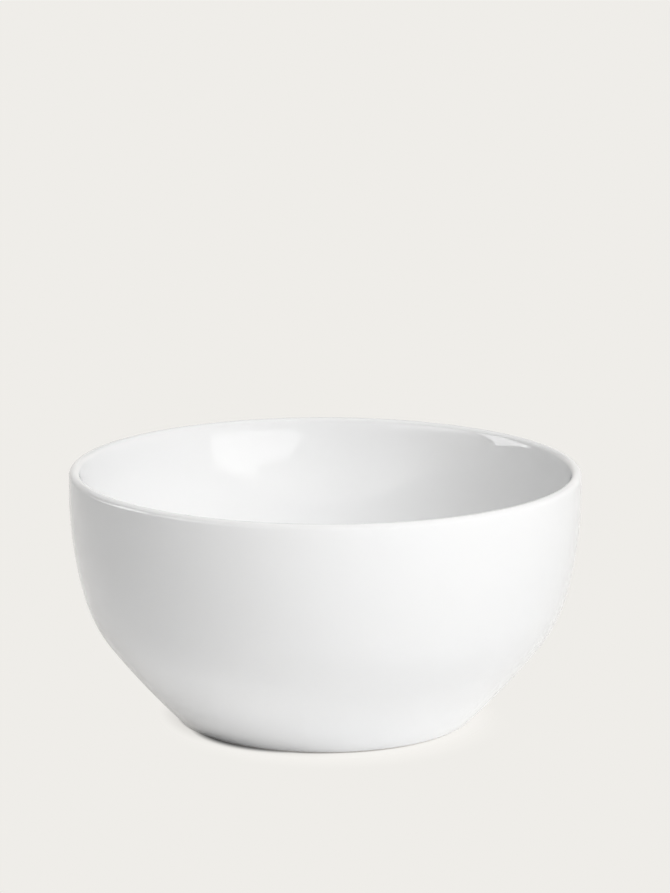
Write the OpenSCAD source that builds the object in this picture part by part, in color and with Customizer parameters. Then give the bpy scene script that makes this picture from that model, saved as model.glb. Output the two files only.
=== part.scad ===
// Latte bowl: a deep porcelain bowl without a handle, glazed inside and out,
// that stands on a bare foot ring. All sizes are in millimetres.
// The bowl is turned about Z, and the table is the plane z = 0.

/* [Outline] */
// Diameter at the widest place, just under the lip
belly_d = 140; // [120:1:160]
// Height from the table to the top of the lip
height = 69; // [60:0.5:80]
// Depth of the widest place below the top of the lip
belly_drop = 6; // [2:0.5:12]
// Radius of the long curve of the upper wall
shoulder_r = 110; // [90:1:150]
// Lean of the wall where the upper wall runs into the knee, in degrees
shoulder_lean = 14.5; // [8:0.5:20]
// Radius of the knee, the turn from the wall to the flank
knee_r = 39; // [30:1:46]
// Radius of the long curve of the flank below the knee
flank_r = 220; // [150:5:300]
// Diameter at which the flank would meet the table
foot_d = 81.5; // [72:0.5:90]

/* [Lip and inside] */
// Thickness of the lip at its rounded crown
lip_w = 3; // [2.4:0.1:4]
// Lean of the inner wall at the lip, from which the wall thickens downwards, in degrees
lip_lean = 9; // [5:0.5:11]
// Radius of the long curve of the inner wall
inner_r = 500; // [350:10:800]
// Height of the inside floor above the table
floor_h = 7; // [6:0.1:9]
// Radius of the inside sweep from the wall to the floor
sweep_r = 40; // [36:0.5:42]

/* [Foot] */
// Width of the bare flat face of the foot ring
ring_w = 4; // [2.5:0.1:6]
// Radius of the heel, the outer edge of the foot ring
heel_r = 0.5; // [0.3:0.1:1.2]
// Chamfer on the inner edge of the foot ring
ring_chamfer = 0.4; // [0.2:0.1:0.5]
// Depth of the well inside the foot ring
well_depth = 2; // [1.6:0.1:3]
// Radius in the corner of the well
well_fillet = 0.8; // [0.4:0.1:1]

/* [Glaze] */
// Thickness of the fired glaze
glaze = 0.25; // [0.2:0.05:0.4]
// Height above the table up to which the foot is wiped free of glaze
bare_h = 0.6; // [0.6:0.1:1.2]

/* [Hidden] */
$fn = 256;

// Least height of the knee's curve above the table, so that the flank has room below it
knee_clear = 0.5;
// How far a round stands past the faces that it joins, so that they cross cleanly
lap = 0.004;
// How many degrees a round runs on inside the faces that it joins
run_on = 12;

// Unit vector that points straight out of the wall where it leans by this angle
function outward(lean) = [cos(lean), -sin(lean)];

// Lean of the wall at a place that lies this way from the centre of its curve
function lean_of(way) = atan2(-way.y, way.x);

// Point at the distances ra from a and rb from b, to the right of the way from a to b
function crossing(a, ra, b, rb) =
    let (
        span = norm(b - a),
        ahead = (b - a) / span,
        along = (ra * ra - rb * rb + span * span) / (2 * span),
        aside = sqrt(ra * ra - along * along)
    )
    a + along * ahead + aside * [ahead.y, -ahead.x];

// Point at this level and this distance from a centre, on its outer side
function at_level(level, centre, distance) =
    [centre.x + sqrt(pow(distance, 2) - pow(level - centre.y, 2)), level];

// The knee starts where the upper wall ends, and on a low bowl its radius is limited by the table
shoulder_end = height - belly_drop - shoulder_r * sin(shoulder_lean);
knee_fit = min(knee_r, (shoulder_end - knee_clear) / (1 - sin(shoulder_lean)));

// Centres of the three curves of the outside, from the lip down: each touches the next
shoulder_c = [belly_d / 2 - shoulder_r, height - belly_drop];
knee_c = shoulder_c + (shoulder_r - knee_fit) * outward(shoulder_lean);
flank_c = crossing(knee_c, flank_r - knee_fit, [foot_d / 2, 0], flank_r);
flank_lean = lean_of(knee_c - flank_c);

// The crown is the round on top of the lip, which touches the outer and the inner wall
crown_r = lip_w / 2;
crown_c = at_level(height - crown_r, shoulder_c, shoulder_r - crown_r);
crown_lean = lean_of(crown_c - shoulder_c);

// The inner wall starts at the crown, and the sweep joins it to the floor
inner_c = crown_c - (inner_r + crown_r) * outward(lip_lean);
sweep_c = at_level(floor_h + sweep_r, inner_c, inner_r - sweep_r);
sweep_lean = lean_of(sweep_c - inner_c);

// The heel lies against the bare flank and the table
heel_c = at_level(heel_r, flank_c, flank_r - glaze - heel_r);
heel_lean = lean_of(heel_c - flank_c);

// Radius of the glazed well, inside the bare face and the chamfer of the foot ring
well_r = heel_c.x - ring_w - ring_chamfer - glaze;
well_c = [well_r - well_fillet, well_depth - well_fillet];

module disc(centre, r) {
    translate(centre)
        circle(r);
}

// All that lies above a level, well past the top of the lip
module above(level) {
    translate([0, level])
        square([belly_d, 3 * height]);
}

// Shape with a corner that is rounded about this centre, between two leans of its outline
module rounded(centre, r, from_lean, to_lean) {
    corner = centre + 2 * r * outward((from_lean + to_lean) / 2);
    difference() {
        children();
        polygon([
            centre + (r + lap) * outward(from_lean),
            corner,
            centre + (r + lap) * outward(to_lean)
        ]);
    }
    intersection() {
        disc(centre, r + lap);
        polygon([
            centre,
            centre + 3 * r * outward(from_lean - run_on),
            centre + 3 * r * outward(to_lean + run_on)
        ]);
    }
}

// All that lies inside the outer face of the bowl when the face is moved in by a depth
module inside_face(depth) {
    rounded(knee_c, knee_fit - depth, shoulder_lean, flank_lean)
        intersection() {
            disc(shoulder_c, shoulder_r - depth);
            disc(flank_c, flank_r - depth);
            above(-height);
        }
}

// The space that the bowl holds, widened on all sides by a depth
module hollow(depth) {
    rounded(sweep_c, sweep_r + depth, sweep_lean, 90)
        intersection() {
            disc(inner_c, inner_r + depth);
            above(floor_h - depth);
        }
}

// Section through wall and floor with every face moved in by a depth, open below the table
module shell(depth) {
    r = crown_r - depth;
    difference() {
        inside_face(depth);
        hollow(depth);
        polygon([
            crown_c - r * outward(lip_lean),
            crown_c + r * outward(crown_lean),
            [belly_d, 4 * height],
            [0, 4 * height]
        ]);
    }
    disc(crown_c, r + lap);
}

// The well under the floor, widened on all sides by a depth, with the chamfer at its mouth
module well(depth) {
    side = well_r + depth;
    rounded(well_c, well_fillet + depth, -90, 0)
        translate([0, -well_depth])
            square([side, 2 * well_depth + depth]);
    polygon([
        [0, -ring_chamfer],
        [side + 2 * ring_chamfer, -ring_chamfer],
        [side, ring_chamfer],
        [0, ring_chamfer]
    ]);
}

// The coat of glaze on both faces of the wall and over its crown
module coat() {
    difference() {
        shell(0);
        shell(glaze);
    }
}

// The fired body: wall, floor and foot ring in one piece of clay
module porcelain_body() {
    color("#ece9e3")
        rotate_extrude()
            intersection() {
                difference() {
                    rounded(heel_c, heel_r, heel_lean, 90)
                        shell(glaze);
                    well(glaze);
                }
                above(0);
            }
}

// The glaze that is poured in: floor, inner wall and the inner half of the crown
module inner_glaze() {
    color("#f7f7f5")
        rotate_extrude()
            intersection() {
                coat();
                inside_face(crown_r);
            }
}

// The glaze on the outside, from the crown down to the wiped foot
module outer_glaze() {
    color("#f5f5f3")
        rotate_extrude()
            intersection() {
                difference() {
                    coat();
                    inside_face(crown_r);
                }
                above(bare_h);
            }
}

// The glaze in the well, down to the wiped foot
module well_glaze() {
    color("#f3f3f1")
        rotate_extrude()
            intersection() {
                difference() {
                    well(glaze);
                    well(0);
                }
                above(bare_h);
            }
}

porcelain_body();
inner_glaze();
outer_glaze();
well_glaze();
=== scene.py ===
"""Latte bowl: a deep white porcelain bowl, glazed inside and out, on a bare foot ring.

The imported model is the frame. One lathe turns the glaze coat, the glaze in the
foot's well and the fired body, and each is dressed with its own finish. The bowl
stands on a pale table without an edge, in soft light from the right front.
Lengths are in metres and angles in degrees.
"""

import logging
import math
from collections.abc import Iterable
from dataclasses import dataclass, field
from enum import Enum

import bpy
from mathutils import Matrix, Vector


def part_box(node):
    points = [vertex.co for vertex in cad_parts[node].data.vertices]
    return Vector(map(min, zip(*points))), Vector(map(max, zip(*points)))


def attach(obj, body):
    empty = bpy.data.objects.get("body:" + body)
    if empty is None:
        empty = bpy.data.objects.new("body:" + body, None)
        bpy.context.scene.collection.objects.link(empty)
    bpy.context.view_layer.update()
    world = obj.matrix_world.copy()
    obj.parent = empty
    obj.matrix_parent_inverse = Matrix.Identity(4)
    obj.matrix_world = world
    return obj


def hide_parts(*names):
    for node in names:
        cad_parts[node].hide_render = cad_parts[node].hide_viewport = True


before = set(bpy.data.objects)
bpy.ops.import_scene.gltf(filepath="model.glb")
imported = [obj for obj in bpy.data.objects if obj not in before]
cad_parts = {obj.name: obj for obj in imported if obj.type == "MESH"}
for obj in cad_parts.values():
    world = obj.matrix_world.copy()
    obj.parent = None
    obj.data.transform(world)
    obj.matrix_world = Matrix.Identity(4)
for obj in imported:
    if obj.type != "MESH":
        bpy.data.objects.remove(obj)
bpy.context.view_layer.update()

log = logging.getLogger("latte_bowl")

MM = 0.001
BODY = "root"

Colour = tuple[float, float, float]
Range = tuple[float, float]
Profile = list[Vector]
Socket = bpy.types.NodeSocket

BACKGROUND: Colour = (0.863, 0.847, 0.814)

# The colour sockets of a Mix node share their names with others, so they go by number
MIX_SHARE = 0
MIX_FIRST = 6
MIX_SECOND = 7
MIX_RESULT = 2


class Node(Enum):
    """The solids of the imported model."""

    BODY = "porcelain_body"
    INNER_GLAZE = "inner_glaze"
    OUTER_GLAZE = "outer_glaze"
    WELL_GLAZE = "well_glaze"


class Slot(Enum):
    """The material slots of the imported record."""

    BARE = "bare_porcelain"
    GLAZE = "white_glaze"


class Ray(Enum):
    """The kinds of ray that see the pale background as it looks."""

    CAMERA = "Is Camera Ray"
    GLOSSY = "Is Glossy Ray"
    TRANSMISSION = "Is Transmission Ray"


def outward(lean: float) -> Vector:
    """Unit vector, in radius and height, straight out of a wall with this lean."""
    return Vector((math.cos(math.radians(lean)), -math.sin(math.radians(lean))))


def lean_of(way: Vector) -> float:
    """Lean of the wall at a place that lies this way from the centre of its curve."""
    return math.degrees(math.atan2(-way.y, way.x))


def at_level(level: float, centre: Vector, distance: float) -> Vector:
    """Point at this level and this distance from a centre, on its outer side."""
    across = math.sqrt(distance**2 - (level - centre.y) ** 2)
    return Vector((centre.x + across, level))


def crossing(a: Vector, from_a: float, b: Vector, from_b: float) -> Vector:
    """Finds the point that lies at given distances from two others.

    Args:
        a: The first point.
        from_a: Distance from the first point.
        b: The second point.
        from_b: Distance from the second point.

    Returns:
        The crossing to the right of the way from a to b.
    """
    span = (b - a).length
    ahead = (b - a) / span
    along = (from_a**2 - from_b**2 + span**2) / (2 * span)
    aside = math.sqrt(from_a**2 - along**2)
    return a + ahead * along + Vector((ahead.y, -ahead.x)) * aside


def arc(centre: Vector, radius: float, start: float, end: float, steps: int) -> Profile:
    """Points along a round stretch of the profile, from one lean to another, with both ends."""
    turn = (end - start) / steps
    return [centre + outward(start + turn * step) * radius for step in range(steps + 1)]


def straight(start: Vector, end: Vector, steps: int) -> Profile:
    """Points along a straight stretch of the profile, with both ends."""
    return [start.lerp(end, step / steps) for step in range(steps + 1)]


def joined(stretches: Iterable[Profile]) -> Profile:
    """Joins stretches of a profile and drops the points that repeat.

    Args:
        stretches: Stretches that follow on from each other.

    Returns:
        One run of points.
    """
    same = 0.001 * MM
    run: Profile = []
    for point in (point for stretch in stretches for point in stretch):
        if not run or (point - run[-1]).length > same:
            run.append(point)
    return run


@dataclass(frozen=True)
class BowlForm:
    """The curves of the bowl, as radius and height. A depth moves every face in.

    The overall sizes come from the frame. The rest repeat the solids' curves.
    """

    belly_r: float
    height: float
    bare_h: float
    floor_h: float
    well_depth: float
    belly_drop: float = 6 * MM
    shoulder_r: float = 110 * MM
    shoulder_lean: float = 14.5
    knee_r: float = 39 * MM
    flank_r: float = 220 * MM
    foot_r: float = 40.75 * MM
    crown_r: float = 1.5 * MM
    lip_lean: float = 9.0
    inner_r: float = 500 * MM
    sweep_r: float = 40 * MM
    ring_w: float = 4 * MM
    heel_r: float = 0.5 * MM
    ring_chamfer: float = 0.4 * MM
    well_fillet: float = 0.8 * MM
    glaze: float = 0.25 * MM

    @classmethod
    def from_frame(cls) -> "BowlForm":
        """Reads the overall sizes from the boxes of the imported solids.

        Returns:
            The bowl's form.
        """
        outer_low, outer_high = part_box(Node.OUTER_GLAZE.value)
        inner_low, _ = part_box(Node.INNER_GLAZE.value)
        _, well_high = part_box(Node.WELL_GLAZE.value)
        return cls(
            belly_r=outer_high.x,
            height=outer_high.z,
            bare_h=outer_low.z,
            floor_h=inner_low.z + cls.glaze,
            well_depth=well_high.z - cls.glaze,
        )

    @property
    def shoulder_c(self) -> Vector:
        """Centre of the long curve of the upper wall."""
        return Vector((self.belly_r - self.shoulder_r, self.height - self.belly_drop))

    @property
    def knee_c(self) -> Vector:
        """Centre of the knee, which touches the upper wall."""
        return self.shoulder_c + outward(self.shoulder_lean) * (self.shoulder_r - self.knee_r)

    @property
    def flank_c(self) -> Vector:
        """Centre of the flank, which touches the knee and aims at the foot."""
        foot = Vector((self.foot_r, 0))
        return crossing(self.knee_c, self.flank_r - self.knee_r, foot, self.flank_r)

    @property
    def crown_c(self) -> Vector:
        """Centre of the round on top of the lip."""
        level = self.height - self.crown_r
        return at_level(level, self.shoulder_c, self.shoulder_r - self.crown_r)

    @property
    def inner_c(self) -> Vector:
        """Centre of the long curve of the inner wall."""
        return self.crown_c - outward(self.lip_lean) * (self.inner_r + self.crown_r)

    @property
    def sweep_c(self) -> Vector:
        """Centre of the sweep from the inner wall to the floor."""
        return at_level(self.floor_h + self.sweep_r, self.inner_c, self.inner_r - self.sweep_r)

    @property
    def heel_c(self) -> Vector:
        """Centre of the heel, which lies against the bare flank and the table."""
        return at_level(self.heel_r, self.flank_c, self.flank_r - self.glaze - self.heel_r)

    @property
    def well_r(self) -> float:
        """Radius of the glazed well inside the foot ring."""
        return self.heel_c.x - self.ring_w - self.ring_chamfer - self.glaze

    @property
    def knee_lean(self) -> float:
        """Lean of the wall where the knee runs into the flank."""
        return lean_of(self.knee_c - self.flank_c)

    @property
    def crown_lean(self) -> float:
        """Lean of the outside where it meets the crown."""
        return lean_of(self.crown_c - self.shoulder_c)

    def flank_lean(self, level: float) -> float:
        """Lean of the flank at a level."""
        return math.degrees(math.asin((self.flank_c.y - level) / self.flank_r))

    def inside(self, depth: float, fine: int) -> Profile:
        """Runs from the axis along the floor and up the inner wall.

        Args:
            depth: How far the face is moved in.
            fine: Steps in the sweep, from which the rest follow.

        Returns:
            The points, up to the foot of the crown.
        """
        sweep_lean = lean_of(self.sweep_c - self.inner_c)
        level = self.floor_h - depth
        floor = straight(Vector((0, level)), Vector((self.sweep_c.x, level)), fine // 6)
        sweep = arc(self.sweep_c, self.sweep_r + depth, 90, sweep_lean, fine)
        wall = arc(self.inner_c, self.inner_r + depth, sweep_lean, self.lip_lean, fine // 2)
        return joined([floor, sweep, wall])

    def crown(self, depth: float, fine: int) -> Profile:
        """Points over the lip, from the inner to the outer wall."""
        return arc(self.crown_c, self.crown_r - depth, self.lip_lean - 180, self.crown_lean, fine)

    def outside(self, depth: float, end_lean: float, fine: int) -> Profile:
        """Runs down the outside from the crown.

        Args:
            depth: How far the face is moved in.
            end_lean: Lean of the flank at which the run ends.
            fine: Steps in the knee, from which the rest follow.

        Returns:
            The points, down to the given lean.
        """
        shoulder = arc(
            self.shoulder_c, self.shoulder_r - depth, self.crown_lean, self.shoulder_lean, fine
        )
        knee = arc(self.knee_c, self.knee_r - depth, self.shoulder_lean, self.knee_lean, fine)
        flank = arc(self.flank_c, self.flank_r - depth, self.knee_lean, end_lean, fine // 2)
        return joined([shoulder, knee, flank])

    def well(self, depth: float, fine: int) -> Profile:
        """Runs from the axis along the roof of the well and down its side.

        Args:
            depth: How far the face is moved out into the clay.
            fine: Steps in the corner.

        Returns:
            The points, down to the side's upper end below the corner.
        """
        roof = self.well_depth + depth
        corner = Vector((self.well_r - self.well_fillet, self.well_depth - self.well_fillet))
        flat = straight(Vector((0, roof)), Vector((corner.x, roof)), fine)
        return joined([flat, arc(corner, self.well_fillet + depth, -90, 0, fine)])


@dataclass
class Graph:
    """A node tree that is filled one node at a time."""

    tree: bpy.types.NodeTree

    def add(
        self, kind: str, inputs: dict[str | int, object] | None = None, **settings: object
    ) -> bpy.types.Node:
        """Adds a node and sets or links its inputs.

        Args:
            kind: The node's type.
            inputs: Values or sockets by input name or number.
            **settings: Properties of the node itself.

        Returns:
            The new node.
        """
        node = self.tree.nodes.new(kind)
        for name, value in settings.items():
            setattr(node, name, value)
        for key, value in (inputs or {}).items():
            if isinstance(value, Socket):
                self.tree.links.new(value, node.inputs[key])
            else:
                node.inputs[key].default_value = value
        return node

    def sum(self, operation: str, *values: object) -> Socket:
        """Adds a Math node over these values and returns its result."""
        node = self.add("ShaderNodeMath", dict(enumerate(values)), operation=operation)
        return node.outputs[0]

    def whole(self, operation: str, *values: object) -> Socket:
        """Adds an Integer Math node over these values and returns its result."""
        node = self.add("FunctionNodeIntegerMath", dict(enumerate(values)), operation=operation)
        return node.outputs[0]

    def part(self, place: Socket, axis: str) -> Socket:
        """Gives one coordinate of a place."""
        return self.add("ShaderNodeSeparateXYZ", {0: place}).outputs[axis]

    def length(self, way: Socket) -> Socket:
        """Gives the length of a vector."""
        return self.add("ShaderNodeVectorMath", {0: way}, operation="LENGTH").outputs["Value"]

    def noise(self, where: Socket, scale: float, detail: float) -> Socket:
        """Adds a noise pattern and returns its level."""
        inputs = {"Vector": where, "Scale": scale, "Detail": detail}
        return self.add("ShaderNodeTexNoise", inputs).outputs[0]

    def ramp(self, value: Socket, source: Range, target: Range) -> Socket:
        """Maps one range smoothly onto another.

        Args:
            value: The socket to map.
            source: The range that is read.
            target: The range that comes out.

        Returns:
            The mapped value.
        """
        inputs = {"Value": value, "From Min": source[0], "From Max": source[1]}
        inputs |= {"To Min": target[0], "To Max": target[1]}
        node = self.add("ShaderNodeMapRange", inputs, interpolation_type="SMOOTHSTEP")
        return node.outputs[0]

    def blend(self, share: Socket, first: object, second: object) -> Socket:
        """Mixes two colours and returns the mix."""
        inputs = {MIX_SHARE: share, MIX_FIRST: first, MIX_SECOND: second}
        return self.add("ShaderNodeMix", inputs, data_type="RGBA").outputs[MIX_RESULT]

    def mixed(self, share: Socket, first: Socket, second: Socket) -> Socket:
        """Mixes two shaders and returns the mix."""
        return self.add("ShaderNodeMixShader", {0: share, 1: first, 2: second}).outputs[0]


def shade(colour: Colour) -> tuple[float, float, float, float]:
    """A colour with full cover, as sockets take it."""
    return (*colour, 1.0)


def new_material(name: str) -> tuple[bpy.types.Material, Graph, bpy.types.Node]:
    """Starts a material from an empty tree.

    Args:
        name: Name of the material.

    Returns:
        The material, its graph and its output node.
    """
    material = bpy.data.materials.new(name)
    material.use_nodes = True
    material.node_tree.nodes.clear()
    graph = Graph(material.node_tree)
    return material, graph, graph.add("ShaderNodeOutputMaterial")


def new_object(name: str, data: bpy.types.ID) -> bpy.types.Object:
    """Makes an object and links it to the scene.

    Args:
        name: Name of the object.
        data: Its mesh, lamp or camera.

    Returns:
        The object.
    """
    made = bpy.data.objects.new(name, data)
    bpy.context.scene.collection.objects.link(made)
    return made


@dataclass(frozen=True)
class GlazeFinish:
    """Clear gloss glaze over white porcelain, with a faint ripple and a greyer lip of thinner glaze
    and painted shade.
    """

    name: str
    lip_h: float
    floor_h: float
    tint: Colour = (0.885, 0.885, 0.883)
    pooled: Colour = (0.870, 0.876, 0.880)
    thin_glaze_and_shade: Colour = (0.858, 0.852, 0.840)
    lip_band: float = 1.6 * MM
    lip_share: float = 0.5
    pool_h: float = 12 * MM
    pool_share: float = 0.6
    pool_swing: Range = (0.5, 1.0)
    cloud_scale: float = 16.0
    cloud_detail: float = 3.0
    cloud_range: Range = (0.35, 0.7)
    cloud_share: float = 0.3
    peel_scale: float = 170.0
    peel_height: float = 0.002 * MM
    grain_scale: float = 900.0
    fine_detail: float = 2.0
    noise_range: Range = (0.3, 0.7)
    smooth: float = 0.02
    dull: float = 0.035
    ior: float = 1.52

    def material(self) -> bpy.types.Material:
        """Builds the glaze from its tone, its sheen and its ripple.

        Returns:
            The glaze's material.
        """
        material, graph, output = new_material(self.name)
        place = graph.add("ShaderNodeTexCoord").outputs["Object"]
        grain = graph.noise(place, self.grain_scale, self.fine_detail)
        peel = graph.noise(place, self.peel_scale, self.fine_detail)
        ripple = graph.add(
            "ShaderNodeBump", {"Strength": 1.0, "Distance": self.peel_height, "Height": peel}
        )
        surface = graph.add(
            "ShaderNodeBsdfPrincipled",
            {
                "Base Color": self.tone(graph, place),
                "Roughness": graph.ramp(grain, self.noise_range, (self.smooth, self.dull)),
                "IOR": self.ior,
                "Normal": ripple.outputs[0],
            },
        )
        graph.tree.links.new(surface.outputs[0], output.inputs["Surface"])
        return material

    def tone(self, graph: Graph, place: Socket) -> Socket:
        """Mixes the colour: pooled on the floor, faintly cloudy all over, greyer on the lip as
        thinner glaze and painted shade.

        Args:
            graph: The tree that is being filled.
            place: The place on the bowl.

        Returns:
            The glaze's colour.
        """
        level = graph.part(place, "Z")
        cloud = graph.noise(place, self.cloud_scale, self.cloud_detail)
        pool = (self.floor_h, self.floor_h + self.pool_h)
        bottom = graph.ramp(level, pool, (self.pool_share, 0.0))
        swing = graph.ramp(cloud, self.noise_range, self.pool_swing)
        faint = graph.ramp(cloud, self.cloud_range, (0.0, self.cloud_share))
        cloudy = graph.sum("ADD", graph.sum("MULTIPLY", bottom, swing), faint)
        full = graph.blend(cloudy, shade(self.tint), shade(self.pooled))
        # Painted shade in part: the greyer band over the crown stands for thinner glaze and for the
        # crown's shade
        lip = graph.ramp(level, (self.lip_h - self.lip_band, self.lip_h), (0.0, self.lip_share))
        return graph.blend(lip, full, shade(self.thin_glaze_and_shade))


@dataclass(frozen=True)
class BareFinish:
    """Fired porcelain without glaze: matt, grainy, turned and a little scuffed."""

    name: str
    clay: Colour = (0.80, 0.775, 0.735)
    scuffed: Colour = (0.60, 0.585, 0.565)
    fleck: Colour = (0.70, 0.665, 0.61)
    scuff_h: float = 0.4 * MM
    scuff_range: Range = (0.45, 0.7)
    scuff_share: float = 0.8
    fleck_range: Range = (0.55, 0.75)
    fleck_share: float = 0.6
    cloud_scale: float = 60.0
    cloud_detail: float = 4.0
    cloud_range: Range = (0.3, 0.7)
    grain_scale: float = 2600.0
    grain_detail: float = 3.0
    grain_height: float = 0.02 * MM
    grain_strength: float = 0.8
    ring_pitch: float = 0.35 * MM
    ring_wander: float = 6.0
    ring_share: float = 0.25
    smooth: float = 0.62
    dull: float = 0.85

    def material(self) -> bpy.types.Material:
        """Builds the clay from its tone, its grain and its turning marks.

        Returns:
            The clay's material.
        """
        material, graph, output = new_material(self.name)
        place = graph.add("ShaderNodeTexCoord").outputs["Object"]
        cloud = graph.noise(place, self.cloud_scale, self.cloud_detail)
        grain = graph.noise(place, self.grain_scale, self.grain_detail)
        marks = graph.sum("MULTIPLY", self.rings(graph, place, cloud), self.ring_share)
        relief = graph.add(
            "ShaderNodeBump",
            {
                "Strength": self.grain_strength,
                "Distance": self.grain_height,
                "Height": graph.sum("ADD", grain, marks),
            },
        )
        surface = graph.add(
            "ShaderNodeBsdfPrincipled",
            {
                "Base Color": self.tone(graph, place, cloud, grain),
                "Roughness": graph.ramp(cloud, self.cloud_range, (self.smooth, self.dull)),
                "Normal": relief.outputs[0],
            },
        )
        graph.tree.links.new(surface.outputs[0], output.inputs["Surface"])
        return material

    def tone(self, graph: Graph, place: Socket, cloud: Socket, grain: Socket) -> Socket:
        """Mixes the colour: flecked all over, and scuffed where the bowl stands.

        Args:
            graph: The tree that is being filled.
            place: The place on the body.
            cloud: The broad pattern.
            grain: The fine pattern.

        Returns:
            The clay's colour.
        """
        flecks = graph.ramp(grain, self.fleck_range, (0.0, self.fleck_share))
        flecked = graph.blend(flecks, shade(self.clay), shade(self.fleck))
        standing = graph.ramp(graph.part(place, "Z"), (0.0, self.scuff_h), (1.0, 0.0))
        worn = graph.ramp(cloud, self.scuff_range, (0.0, self.scuff_share))
        scuff = graph.sum("MULTIPLY", standing, worn)
        return graph.blend(scuff, flecked, shade(self.scuffed))

    def rings(self, graph: Graph, place: Socket, cloud: Socket) -> Socket:
        """Lays fine turning marks round the axis, which wander a little.

        Args:
            graph: The tree that is being filled.
            place: The place on the body.
            cloud: The broad pattern that the marks wander with.

        Returns:
            A wave between minus one and one.
        """
        parts = graph.add("ShaderNodeSeparateXYZ", {0: place}).outputs
        flat = graph.add("ShaderNodeCombineXYZ", {"X": parts["X"], "Y": parts["Y"]}).outputs[0]
        phase = graph.sum("MULTIPLY", graph.length(flat), math.tau / self.ring_pitch)
        wander = graph.sum("MULTIPLY", cloud, self.ring_wander)
        return graph.sum("SINE", graph.sum("ADD", phase, wander))


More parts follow.
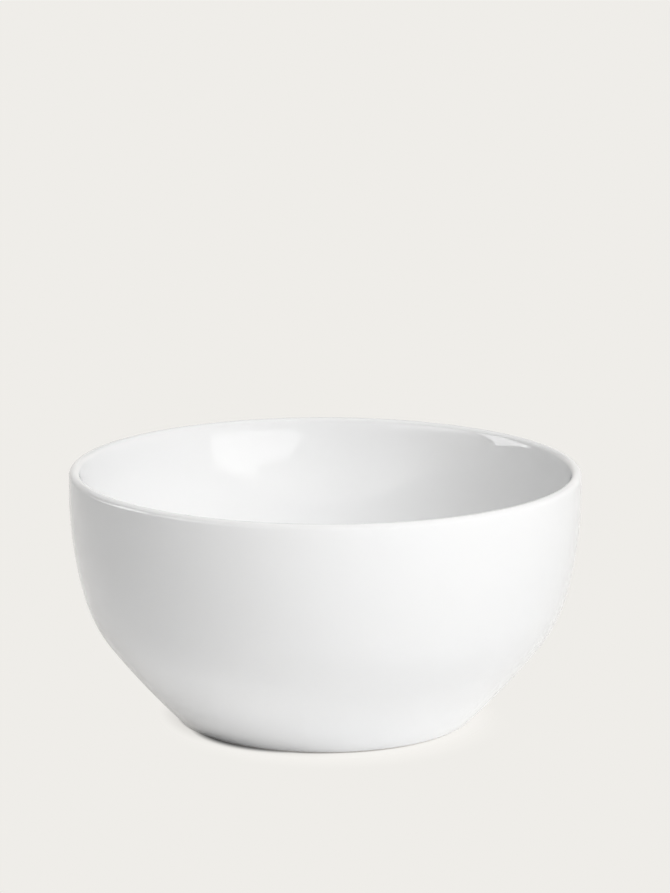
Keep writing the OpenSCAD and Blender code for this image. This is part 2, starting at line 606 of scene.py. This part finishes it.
@dataclass
class Lathe:
    """Turns a profile about the bowl's axis with a Geometry Nodes tree."""

    turns: int = 192
    warp: float = 0.04 * MM
    warp_scale: float = 14.0
    seed: int = 5
    merge: float = 0.0005 * MM
    crease: float = 35.0
    tree: bpy.types.NodeTree = field(init=False)

    def __post_init__(self) -> None:
        """Builds the tree that all turned pieces share."""
        self.tree = bpy.data.node_groups.new("lathe", "GeometryNodeTree")
        inputs = {
            "Profile": "NodeSocketGeometry",
            "Turns": "NodeSocketInt",
            "Warp": "NodeSocketFloat",
            "Warp Scale": "NodeSocketFloat",
            "Seed": "NodeSocketInt",
            "Finish": "NodeSocketMaterial",
        }
        face = self.tree.interface
        for name, kind in inputs.items():
            face.new_socket(name, in_out="INPUT", socket_type=kind)
        face.new_socket("Piece", in_out="OUTPUT", socket_type="NodeSocketGeometry")
        graph = Graph(self.tree)
        given = graph.add("NodeGroupInput").outputs
        rings = self.revolved(graph, given)
        kiln = self.warped(graph, given, rings)
        whole = graph.add("GeometryNodeMergeByDistance", {"Geometry": kiln, "Distance": self.merge})
        smooth = graph.add("GeometryNodeSetShadeSmooth", {"Geometry": whole.outputs[0]})
        real = graph.add("GeometryNodeRealizeInstances", {"Geometry": smooth.outputs[0]})
        dressed = graph.add(
            "GeometryNodeSetMaterial", {"Geometry": real.outputs[0], "Material": given["Finish"]}
        )
        graph.add("NodeGroupOutput", {"Piece": dressed.outputs[0]})

    def revolved(self, graph: Graph, given: bpy.types.bpy_prop_collection) -> Socket:
        """Lays a grid round the axis, one row for each point of the profile.

        Args:
            graph: The tree that is being filled.
            given: The tree's inputs.

        Returns:
            The turned geometry, still open at its seam and poles.
        """
        count = graph.add("GeometryNodeAttributeDomainSize", {"Geometry": given["Profile"]})
        columns = graph.whole("ADD", given["Turns"], 1)
        grid = graph.add(
            "GeometryNodeMeshGrid",
            {"Vertices X": count.outputs["Point Count"], "Vertices Y": columns},
        )
        index = graph.add("GeometryNodeInputIndex").outputs[0]
        row = graph.whole("DIVIDE_FLOOR", index, columns)
        column = graph.whole("MODULO", index, columns)
        angle = graph.sum("DIVIDE", graph.sum("MULTIPLY", column, math.tau), given["Turns"])
        point = graph.add(
            "GeometryNodeSampleIndex",
            {"Geometry": given["Profile"], "Index": row},
            data_type="FLOAT_VECTOR",
        )
        place = graph.add("GeometryNodeInputPosition").outputs[0]
        asked = next(entry for entry in point.inputs if entry.name == "Value" and entry.enabled)
        graph.tree.links.new(place, asked)
        sampled = next(result for result in point.outputs if result.enabled)
        parts = graph.add("ShaderNodeSeparateXYZ", {0: sampled}).outputs
        turned = graph.add(
            "ShaderNodeCombineXYZ",
            {
                "X": graph.sum("MULTIPLY", parts["X"], graph.sum("COSINE", angle)),
                "Y": graph.sum("MULTIPLY", parts["X"], graph.sum("SINE", angle)),
                "Z": parts["Z"],
            },
        )
        moved = graph.add(
            "GeometryNodeSetPosition",
            {"Geometry": grid.outputs["Mesh"], "Position": turned.outputs[0]},
        )
        return moved.outputs[0]

    def warped(
        self, graph: Graph, given: bpy.types.bpy_prop_collection, rings: Socket
    ) -> Socket:
        """Draws the wall in and out a little, as the kiln does.

        Args:
            graph: The tree that is being filled.
            given: The tree's inputs.
            rings: The turned geometry.

        Returns:
            The warped geometry.
        """
        place = graph.add("GeometryNodeInputPosition").outputs[0]
        noise = graph.add(
            "ShaderNodeTexNoise",
            {"Vector": place, "W": given["Seed"], "Scale": given["Warp Scale"], "Detail": 0.0},
            noise_dimensions="4D",
        )
        # The noise runs from nought to one, and the swing from minus one to one
        swing = graph.sum("MULTIPLY", graph.sum("SUBTRACT", noise.outputs[0], 0.5), 2.0)
        reach = graph.sum("MULTIPLY", swing, given["Warp"])
        flat = graph.add("ShaderNodeVectorMath", {0: place, 1: (1, 1, 0)}, operation="MULTIPLY")
        way = graph.add("ShaderNodeVectorMath", {0: flat.outputs[0]}, operation="NORMALIZE")
        shift = graph.add(
            "ShaderNodeVectorMath", {0: way.outputs[0], "Scale": reach}, operation="SCALE"
        )
        moved = graph.add(
            "GeometryNodeSetPosition", {"Geometry": rings, "Offset": shift.outputs[0]}
        )
        return moved.outputs[0]

    def turn(self, name: str, profile: Profile, finish: bpy.types.Material) -> bpy.types.Object:
        """Turns one piece and leaves it as a plain mesh.

        Args:
            name: Name of the piece.
            profile: Points from the upper to the lower end of the axis.
            finish: The piece's material.

        Returns:
            The finished object, at the origin.
        """
        outline = bpy.data.meshes.new(f"{name}_profile")
        corners = [(point.x, 0.0, point.y) for point in profile]
        edges = [(index, index + 1) for index in range(len(corners) - 1)]
        outline.from_pydata(corners, edges, [])
        piece = new_object(name, outline)
        modifier = piece.modifiers.new("lathe", "NODES")
        modifier.node_group = self.tree
        values = {
            "Turns": self.turns,
            "Warp": self.warp,
            "Warp Scale": self.warp_scale,
            "Seed": self.seed,
            "Finish": finish,
        }
        for socket in self.tree.interface.items_tree:
            if socket.in_out == "INPUT" and socket.name in values:
                modifier[socket.identifier] = values[socket.name]
        ready = piece.evaluated_get(bpy.context.evaluated_depsgraph_get())
        mesh = bpy.data.meshes.new_from_object(ready)
        mesh.name = name
        mesh.materials.clear()
        mesh.materials.append(finish)
        mesh.set_sharp_from_angle(angle=math.radians(self.crease))
        piece.modifiers.remove(modifier)
        piece.data = mesh
        bpy.data.meshes.remove(outline)
        return piece


@dataclass
class Piece:
    """A turned piece of the bowl, which stands for one or more solids of the frame."""

    form: BowlForm
    lathe: Lathe
    name: str = ""
    slot: Slot = Slot.GLAZE
    stands_for: tuple[Node, ...] = ()

    def profile(self) -> Profile:
        """The piece's section; each kind of piece gives its own."""
        raise NotImplementedError

    def finish(self) -> bpy.types.Material:
        """The piece's material; each kind of piece gives its own."""
        raise NotImplementedError

    def build(self) -> bpy.types.Object:
        """Turns and dresses the piece and ties it to the frame.

        Returns:
            The finished object.
        """
        piece = self.lathe.turn(self.name, self.profile(), self.finish())
        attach(piece, BODY)
        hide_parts(*(node.value for node in self.stands_for))
        return piece


@dataclass
class GlazeCoat(Piece):
    """The unbroken coat over floor, inner wall, lip and outside, with a rolled edge."""

    name: str = "glaze_coat"
    stands_for: tuple[Node, ...] = (Node.INNER_GLAZE, Node.OUTER_GLAZE)
    roll: float = 0.05 * MM
    roll_h: float = 1.0 * MM
    ease_h: float = 2.4 * MM
    ease_r: float = 80 * MM
    fine: int = 48
    hidden_fine: int = 24
    roll_steps: int = 8
    edge_steps: int = 10

    def finish(self) -> bpy.types.Material:
        """The glaze, a little pooled on the floor, with a greyer lip of thinner glaze and painted
        shade.
        """
        return GlazeFinish("white_glaze_coat", self.form.height, self.form.floor_h).material()

    def eased_inside(self) -> Profile:
        """Runs up the inside, which leans out more and more just below the crown.

        Returns:
            The points from the axis to the foot of the crown.
        """
        form = self.form
        lip = form.crown_c - outward(form.lip_lean) * form.crown_r
        start = lip.y - self.ease_h
        eased: Profile = []
        for point in form.inside(0, self.fine):
            rise = max(point.y - start, 0.0)
            eased.append(point + outward(form.lip_lean) * (rise**2 / (2 * self.ease_r)))
        return eased

    def eased_crown(self) -> Profile:
        """Runs over the crown, drawn back at first to follow the eased inside.

        Returns:
            The points from the inner to the outer wall.
        """
        form = self.form
        drawn = self.ease_h**2 / (2 * self.ease_r)
        slope = self.ease_h / self.ease_r
        length = form.crown_r * math.pi / 2
        crown = form.crown(0, self.fine // 2)
        whole_turn = math.radians(form.crown_lean - form.lip_lean + 180)
        eased: Profile = []
        for index, point in enumerate(crown):
            turn = whole_turn * index / (len(crown) - 1)
            along = min(turn * form.crown_r / length, 1.0)
            start_part = drawn * (1 - along) ** 2 * (1 + 2 * along)
            slope_part = slope * length * along * (1 - along) ** 2
            inward = (form.crown_c - point).normalized()
            eased.append(point + inward * (start_part + slope_part))
        return eased

    def profile(self) -> Profile:
        """Runs over the whole outer face, round the rolled edge and back beneath.

        Returns:
            The section from the floor's upper face to its lower one.
        """
        form = self.form
        thick = form.glaze + self.roll
        end_lean = form.flank_lean(form.bare_h + thick / 2)
        roll_lean = form.flank_lean(form.bare_h + self.roll_h)
        rolled: Profile = []
        for step in range(self.roll_steps + 1):
            share = step / self.roll_steps
            swell = self.roll * share**2 * (3 - 2 * share)
            way = outward(roll_lean + (end_lean - roll_lean) * share)
            rolled.append(form.flank_c + way * (form.flank_r + swell))
        middle = form.flank_c + outward(end_lean) * (form.flank_r + self.roll - thick / 2)
        return joined(
            [
                self.eased_inside(),
                self.eased_crown(),
                form.outside(0, roll_lean, self.fine),
                rolled,
                arc(middle, thick / 2, end_lean, end_lean + 180, self.edge_steps),
                form.outside(form.glaze, end_lean, self.hidden_fine)[::-1],
                form.crown(form.glaze, self.hidden_fine)[::-1],
                form.inside(form.glaze, self.hidden_fine)[::-1],
            ]
        )


@dataclass
class WellGlaze(Piece):
    """The patch of glaze on the roof and side of the foot's well."""

    name: str = "well_glaze_coat"
    stands_for: tuple[Node, ...] = (Node.WELL_GLAZE,)
    fine: int = 10

    def finish(self) -> bpy.types.Material:
        """The same glaze, without a lip or a pooled floor."""
        far_up = 1.0
        return GlazeFinish("white_glaze_well", far_up, -far_up).material()

    def profile(self) -> Profile:
        """Runs over the hidden face, round the lower edge and back over the seen face.

        Returns:
            The section from the patch's upper face to its lower one.
        """
        form = self.form
        half = form.glaze / 2
        middle = Vector((form.well_r + half, form.bare_h + half))
        edge = arc(middle, half, 0, 180, self.fine)
        return joined([form.well(form.glaze, self.fine), edge, form.well(0, self.fine)[::-1]])


@dataclass
class FiredBody(Piece):
    """The fired clay under the glaze, bare only at the foot ring."""

    name: str = "fired_body"
    slot: Slot = Slot.BARE
    stands_for: tuple[Node, ...] = (Node.BODY,)
    soft_edge: float = 0.12 * MM
    soft_near: float = 0.6
    soft_past: float = 0.3
    fine: int = 24
    heel_steps: int = 12
    well_steps: int = 10

    def finish(self) -> bpy.types.Material:
        """The matt clay of the foot ring."""
        return BareFinish("bare_porcelain_foot").material()

    def ring_edge(self) -> Profile:
        """Runs from the foot ring up its inner chamfer, with both edges softened.

        Returns:
            The points from the table to the side of the well.
        """
        side = self.form.well_r + self.form.glaze
        chamfer = self.form.ring_chamfer
        soft = self.soft_edge
        near = soft * self.soft_near
        past = soft * self.soft_past
        return [
            Vector((side + chamfer + soft, 0)),
            Vector((side + chamfer - past, near)),
            Vector((side + near, chamfer - past)),
            Vector((side, chamfer + soft)),
        ]

    def profile(self) -> Profile:
        """Runs under the glaze, round the heel, over the foot ring and up the well.

        Returns:
            The section from the floor's upper face to the well's roof.
        """
        form = self.form
        heel_lean = lean_of(form.heel_c - form.flank_c)
        return joined(
            [
                form.inside(form.glaze, self.fine),
                form.crown(form.glaze, self.fine),
                form.outside(form.glaze, heel_lean, self.fine),
                arc(form.heel_c, form.heel_r, heel_lean, 90, self.heel_steps),
                self.ring_edge(),
                form.well(form.glaze, self.well_steps)[::-1],
            ]
        )


@dataclass(frozen=True)
class Patch:
    """A round patch of light or shadow on the table, with a soft edge."""

    centre: tuple[float, float, float]
    middle: float
    reach: Range = (30 * MM, 100 * MM)

    def level(self, graph: Graph, place: Socket) -> Socket:
        """The patch's strength at a place, which falls to nought at the patch's end."""
        aside = graph.add("ShaderNodeVectorMath", {0: place, 1: self.centre}, operation="DISTANCE")
        return graph.ramp(aside.outputs["Value"], self.reach, (self.middle, 0.0))


@dataclass(frozen=True)
class TableFinish:
    """Pale lit table without an edge, which takes the bowl's shadow near the foot, partly cast by
    the lamps and partly painted.

    The gloss also sees the bowl's wide shade at the left, and the camera doesn't. From
    below the table is clear, so that the bowl's underside can be seen, and it glows under
    the foot, where only that side gets the light.
    """

    name: str
    foot_r: float
    seen: Colour = BACKGROUND
    bounce: Colour = (0.88, 0.88, 0.88)
    # Painted shade: the table's near-black colour under the flank
    hidden: Colour = (0.05, 0.05, 0.05)
    pools: tuple[Patch, ...] = (
        Patch((85 * MM, 10 * MM, 0.0), 0.26),
        Patch((15 * MM, -80 * MM, 0.0), 0.155),
    )
    halo: Patch = Patch((2 * MM, -7 * MM, 0.0), 0.065, (35 * MM, 49 * MM))
    crescent: Patch = Patch((-8.2 * MM, -11.3 * MM, 0.0), 1.0, (26.7 * MM, 30.6 * MM))
    dim: Patch = Patch((-50 * MM, 35 * MM, 0.0), 0.25, (25 * MM, 80 * MM))
    contact_reach: float = 1.4 * MM
    contact_share: float = 0.8
    lit_share: float = 0.25
    lit_glow: float = 0.12
    lit_reach: float = 12 * MM
    lit_side: Range = (-8 * MM, 6 * MM)
    shadow_reach: float = 6 * MM
    shadow_share: float = 0.25
    dark_at: tuple[float, float, float] = (-5 * MM, 3 * MM, 0.0)
    dark_edge: float = 1 * MM
    dark_reach: float = 8 * MM
    nook_glow: float = 0.6
    nook_edge: float = 1 * MM

    def round_foot(self, inside: float, outside: float) -> Range:
        """A stretch of table from inside the foot's edge to outside it."""
        return (self.foot_r - inside, self.foot_r + outside)

    def material(self) -> bpy.types.Material:
        """Builds the table from its seen colour, its shadow and its bounced light.

        Returns:
            The table's material.
        """
        material, graph, output = new_material(self.name)
        material.cycles.emission_sampling = "NONE"
        place = graph.add("ShaderNodeTexCoord").outputs["Object"]
        plain = graph.add(
            "ShaderNodeEmission",
            {"Color": shade(self.seen), "Strength": self.brightness(graph, place)},
        )
        # Painted shade: round the foot, reaching further to the left, the table turns near black,
        # both in the light it bounces and where its lit colour shows
        dark = Patch(self.dark_at, 1.0, self.round_foot(self.dark_edge, self.dark_reach))
        bounced = graph.blend(dark.level(graph, place), shade(self.bounce), shade(self.hidden))
        matt = graph.add("ShaderNodeBsdfDiffuse", {"Color": bounced})
        glow = graph.add("ShaderNodeEmission", {"Strength": self.glow(graph, place)})
        lit = graph.add("ShaderNodeAddShader", {0: matt.outputs[0], 1: glow.outputs[0]}).outputs[0]
        looks = graph.mixed(self.shadow(graph, place), plain.outputs[0], lit)
        above = graph.mixed(seen_ray(graph), lit, looks)
        below = graph.add("ShaderNodeNewGeometry").outputs["Backfacing"]
        clear = graph.add("ShaderNodeBsdfTransparent").outputs[0]
        graph.tree.links.new(graph.mixed(below, above, clear), output.inputs["Surface"])
        return material

    def brightness(self, graph: Graph, place: Socket) -> Socket:
        """Gives the strength of the seen colour: a halo for all, a shade for the gloss.

        Args:
            graph: The tree that is being filled.
            place: The place on the table.

        Returns:
            The strength, which is one far from the bowl.
        """
        glossy = graph.add("ShaderNodeLightPath").outputs[Ray.GLOSSY.value]
        dimmed = graph.sum("MULTIPLY", glossy, self.dim.level(graph, place))
        rest = graph.sum("SUBTRACT", 1.0, dimmed)
        return graph.sum("ADD", rest, self.halo.level(graph, place))

    def shadow(self, graph: Graph, place: Socket) -> Socket:
        """Gives the share of the lit table that shows: a ring and a crescent at the foot.

        Args:
            graph: The tree that is being filled.
            place: The place on the table.

        Returns:
            The share, which is nought far from the bowl.
        """
        away = graph.length(place)
        shares = (self.contact_share, self.lit_share)
        side = graph.ramp(graph.part(place, "X"), self.lit_side, shares)
        close = self.round_foot(0.0, self.contact_reach)
        near = self.round_foot(0.0, self.shadow_reach)
        line = graph.ramp(away, close, (1.0 - self.shadow_share, 0.0))
        soft = graph.ramp(away, near, (self.shadow_share, 0.0))
        ring = graph.sum("MULTIPLY", side, graph.sum("ADD", line, soft))
        return graph.sum("MAXIMUM", ring, self.crescent.level(graph, place))

    def glow(self, graph: Graph, place: Socket) -> Socket:
        """Gives the light that the table adds: two pools, a lit edge and the foot's nook.

        Args:
            graph: The tree that is being filled.
            place: The place on the table.

        Returns:
            The strength of the light.
        """
        away = graph.length(place)
        pooled = graph.sum("ADD", *(pool.level(graph, place) for pool in self.pools))
        facing = graph.ramp(graph.part(place, "X"), self.lit_side, (0.0, self.lit_glow))
        rise = graph.ramp(away, self.round_foot(0.0, self.contact_reach), (0.0, 1.0))
        fall = graph.ramp(away, self.round_foot(0.0, self.lit_reach), (1.0, 0.0))
        edge = graph.sum("MULTIPLY", facing, graph.sum("MULTIPLY", rise, fall))
        nook = graph.ramp(away, self.round_foot(self.nook_edge, 0.0), (self.nook_glow, 0.0))
        return graph.sum("ADD", graph.sum("ADD", pooled, edge), nook)


def seen_ray(graph: Graph) -> Socket:
    """Tells the rays that see the background as it looks from those that light the bowl.

    Args:
        graph: The tree that is being filled.

    Returns:
        One for a ray that sees it, and nought for the rest.
    """
    path = graph.add("ShaderNodeLightPath").outputs
    camera, glossy, through = (path[ray.value] for ray in Ray)
    return graph.sum("MAXIMUM", camera, graph.sum("MAXIMUM", glossy, through))


@dataclass(frozen=True)
class Panel:
    """A soft rectangular lamp that faces the bowl. Neither camera nor gloss sees it."""

    name: str
    azimuth: float
    elevation: float
    glow: float
    width: float = 0.8
    depth: float = 0.8
    distance: float = 1.5

    def place(self, target: Vector) -> bpy.types.Object:
        """Hangs the lamp.

        Args:
            target: The point that the lamp faces.

        Returns:
            The lamp's object.
        """
        lamp = bpy.data.lights.new(self.name, "AREA")
        lamp.shape = "RECTANGLE"
        lamp.size = self.width
        lamp.size_y = self.depth
        lamp.energy = self.glow * math.pi * self.width * self.depth
        hung = new_object(self.name, lamp)
        side = math.radians(self.azimuth)
        up = math.radians(self.elevation)
        way = Vector(
            (math.sin(side) * math.cos(up), -math.cos(side) * math.cos(up), math.sin(up))
        )
        facing = way.to_track_quat("Z", "Y").to_matrix().to_4x4()
        hung.matrix_world = Matrix.Translation(target + way * self.distance) @ facing
        hung.visible_camera = False
        hung.visible_glossy = False
        return hung


@dataclass(frozen=True)
class Card:
    """An upright board beside the bowl, which shows only in the gloss.

    Its corners are given across, to the right as the camera sees a board at azimuth
    nought, and up from the table.
    """

    name: str
    azimuth: float
    glow: float
    corners: tuple[tuple[float, float], ...]
    distance: float = 1.0

    @property
    def turn(self) -> Matrix:
        """The turn about the bowl's axis that brings the board to its place."""
        return Matrix.Rotation(math.radians(self.azimuth), 3, "Z")

    def place(self) -> bpy.types.Object:
        """Stands the board on its place, hidden from the camera, diffuse light and shadows.

        Returns:
            The board's object.
        """
        points = [self.turn @ Vector((across, -self.distance, up)) for across, up in self.corners]
        mesh = bpy.data.meshes.new(self.name)
        mesh.from_pydata(points, [], [tuple(range(len(points)))])
        material, graph, output = new_material(self.name)
        material.cycles.emission_sampling = "NONE"
        graph.tree.links.new(self.surface(graph), output.inputs["Surface"])
        mesh.materials.append(material)
        board = new_object(self.name, mesh)
        board.visible_camera = False
        board.visible_diffuse = False
        board.visible_shadow = False
        return board

    def surface(self, graph: Graph) -> Socket:
        """Gives the board its even glow."""
        return graph.add("ShaderNodeEmission", {"Strength": self.glow}).outputs[0]


@dataclass(frozen=True)
class Veil(Card):
    """A clear board whose glow fades out to its lower edge and to both ends."""

    left_fade: Range = (-0.65, -0.38)
    right_fade: Range = (-0.38, 0.84)
    low_fade: Range = (0.15, 0.29)

    def surface(self, graph: Graph) -> Socket:
        """Adds the fading glow to what is seen through the board.

        Args:
            graph: The tree that is being filled.

        Returns:
            The board's shader.
        """
        place = graph.add("ShaderNodeTexCoord").outputs["Object"]
        along = self.turn @ Vector((1, 0, 0))
        product = graph.add("ShaderNodeVectorMath", {0: place, 1: along}, operation="DOT_PRODUCT")
        across = product.outputs["Value"]
        left = graph.ramp(across, self.left_fade, (0.0, 1.0))
        right = graph.ramp(across, self.right_fade, (1.0, 0.0))
        low = graph.ramp(graph.part(place, "Z"), self.low_fade, (0.0, self.glow))
        level = graph.sum("MULTIPLY", low, graph.sum("MULTIPLY", left, right))
        glow = graph.add("ShaderNodeEmission", {"Strength": level})
        clear = graph.add("ShaderNodeBsdfTransparent")
        both = graph.add("ShaderNodeAddShader", {0: clear.outputs[0], 1: glow.outputs[0]})
        return both.outputs[0]


@dataclass
class Studio:
    """The table, the surroundings, the lamps and the boards."""

    form: BowlForm
    table_half: float = 4.0
    background: Colour = BACKGROUND
    ceiling: Colour = (0.22, 0.22, 0.22)
    ceiling_rise: Range = (0.24, 0.42)
    panels: tuple[Panel, ...] = (
        Panel("key_panel", 45, 50, glow=9.5, depth=0.6),
        Panel("front_panel", 25, 20, glow=3.3, depth=0.6),
        Panel("low_left_panel", -65, 4, glow=1.45, width=1.0, depth=0.2),
        Panel("right_back", 120, 30, glow=0.82),
        Panel("left_back", -120, 30, glow=2.0),
        Panel("back_top", 180, 65, glow=1.77),
        Panel("front_top", 0, 65, glow=1.74),
    )
    cards: tuple[Card, ...] = (
        Card(
            "front_card",
            azimuth=33,
            glow=2.5,
            corners=(
                (-0.51, 0.10),
                (0.50, 0.10),
                (0.49, 0.174),
                (0.38, 0.187),
                (0.05, 0.204),
                (0.04, 0.198),
                (-0.264, 0.213),
                (-0.51, 0.198),
            ),
        ),
        Veil(
            "low_veil",
            azimuth=-50,
            glow=3.0,
            corners=((-0.65, 0.15), (0.84, 0.15), (0.84, 0.6), (-0.65, 0.6)),
        ),
        Card(
            "left_card",
            azimuth=-98,
            glow=5.0,
            corners=(
                (-0.45, 0.05),
                (0.02, 0.05),
                (0.29, 0.235),
                (0.29, 0.5),
                (-0.11, 0.5),
                (-0.11, 0.235),
            ),
        ),
        Card(
            "back_card",
            azimuth=-150,
            glow=0.6,
            corners=((-0.45, 0.50), (0.45, 0.50), (0.45, 1.25), (-0.45, 1.25)),
        ),
    )

    def build(self) -> None:
        """Sets up the table, the world, the lamps and the boards."""
        self.table()
        self.world()
        target = Vector((0, 0, self.form.height / 2))
        for panel in self.panels:
            panel.place(target)
            log.info("lamp %s", panel.name)
        for card in self.cards:
            card.place()
            log.info("board %s", card.name)

    def table(self) -> None:
        """Lays the table under the foot ring."""
        half = self.table_half
        mesh = bpy.data.meshes.new("table")
        corners = [(-half, -half, 0), (half, -half, 0), (half, half, 0), (-half, half, 0)]
        mesh.from_pydata(corners, [], [(0, 1, 2, 3)])
        mesh.materials.append(TableFinish("pale_table", self.form.heel_c.x).material())
        table = new_object("table", mesh)

    def world(self) -> None:
        """Gives the surroundings their pale look, dimmer overhead; the lamps do the lighting."""
        world = bpy.data.worlds.new("pale_surroundings")
        world.use_nodes = True
        world.node_tree.nodes.clear()
        graph = Graph(world.node_tree)
        way = graph.add("ShaderNodeTexCoord").outputs["Generated"]
        height = graph.ramp(graph.part(way, "Z"), self.ceiling_rise, (0.0, 1.0))
        tone = graph.blend(height, shade(self.background), shade(self.ceiling))
        looks = graph.add("ShaderNodeBackground", {"Color": tone}).outputs[0]
        dark = graph.add("ShaderNodeBackground", {"Strength": 0.0}).outputs[0]
        graph.add("ShaderNodeOutputWorld", {"Surface": graph.mixed(seen_ray(graph), dark, looks)})
        bpy.context.scene.world = world


@dataclass(frozen=True)
class Eye:
    """The camera at the photograph's viewpoint.

    The focal length and the picture's height are in pixels, and the sensor is in millimetres.
    """

    place: tuple[float, float, float] = (0.0, -870.1 * MM, 257.7 * MM)
    down: float = 11.88
    right: float = 0.17
    roll: float = 0.148
    picture_h: float = 893.0
    focal_px: float = 3261.7
    sensor_mm: float = 36.0

    def build(self) -> bpy.types.Object:
        """Sets up the camera and makes it the scene's own.

        Returns:
            The camera's object.
        """
        lens = bpy.data.cameras.new("eye")
        lens.sensor_width = self.sensor_mm
        lens.lens = self.focal_px * self.sensor_mm / self.picture_h
        eye = new_object("eye", lens)
        aside = Matrix.Rotation(math.radians(-self.right), 4, "Z")
        tilt = Matrix.Rotation(math.radians(90 - self.down), 4, "X")
        roll = Matrix.Rotation(math.radians(self.roll), 4, "Z")
        eye.matrix_world = Matrix.Translation(Vector(self.place)) @ aside @ tilt @ roll
        bpy.context.scene.camera = eye
        return eye


def main() -> None:
    """Builds the camera, the bowl's pieces and the studio in order."""
    logging.basicConfig(level=logging.INFO, format="%(name)s: %(message)s")
    bpy.context.scene.view_settings.view_transform = "Standard"
    Eye().build()
    form = BowlForm.from_frame()
    lathe = Lathe()
    for maker in (FiredBody(form, lathe), GlazeCoat(form, lathe), WellGlaze(form, lathe)):
        piece = maker.build()
        log.info("%s: %d faces", piece.name, len(piece.data.polygons))
    Studio(form).build()


if __name__ == "__main__":
    main()
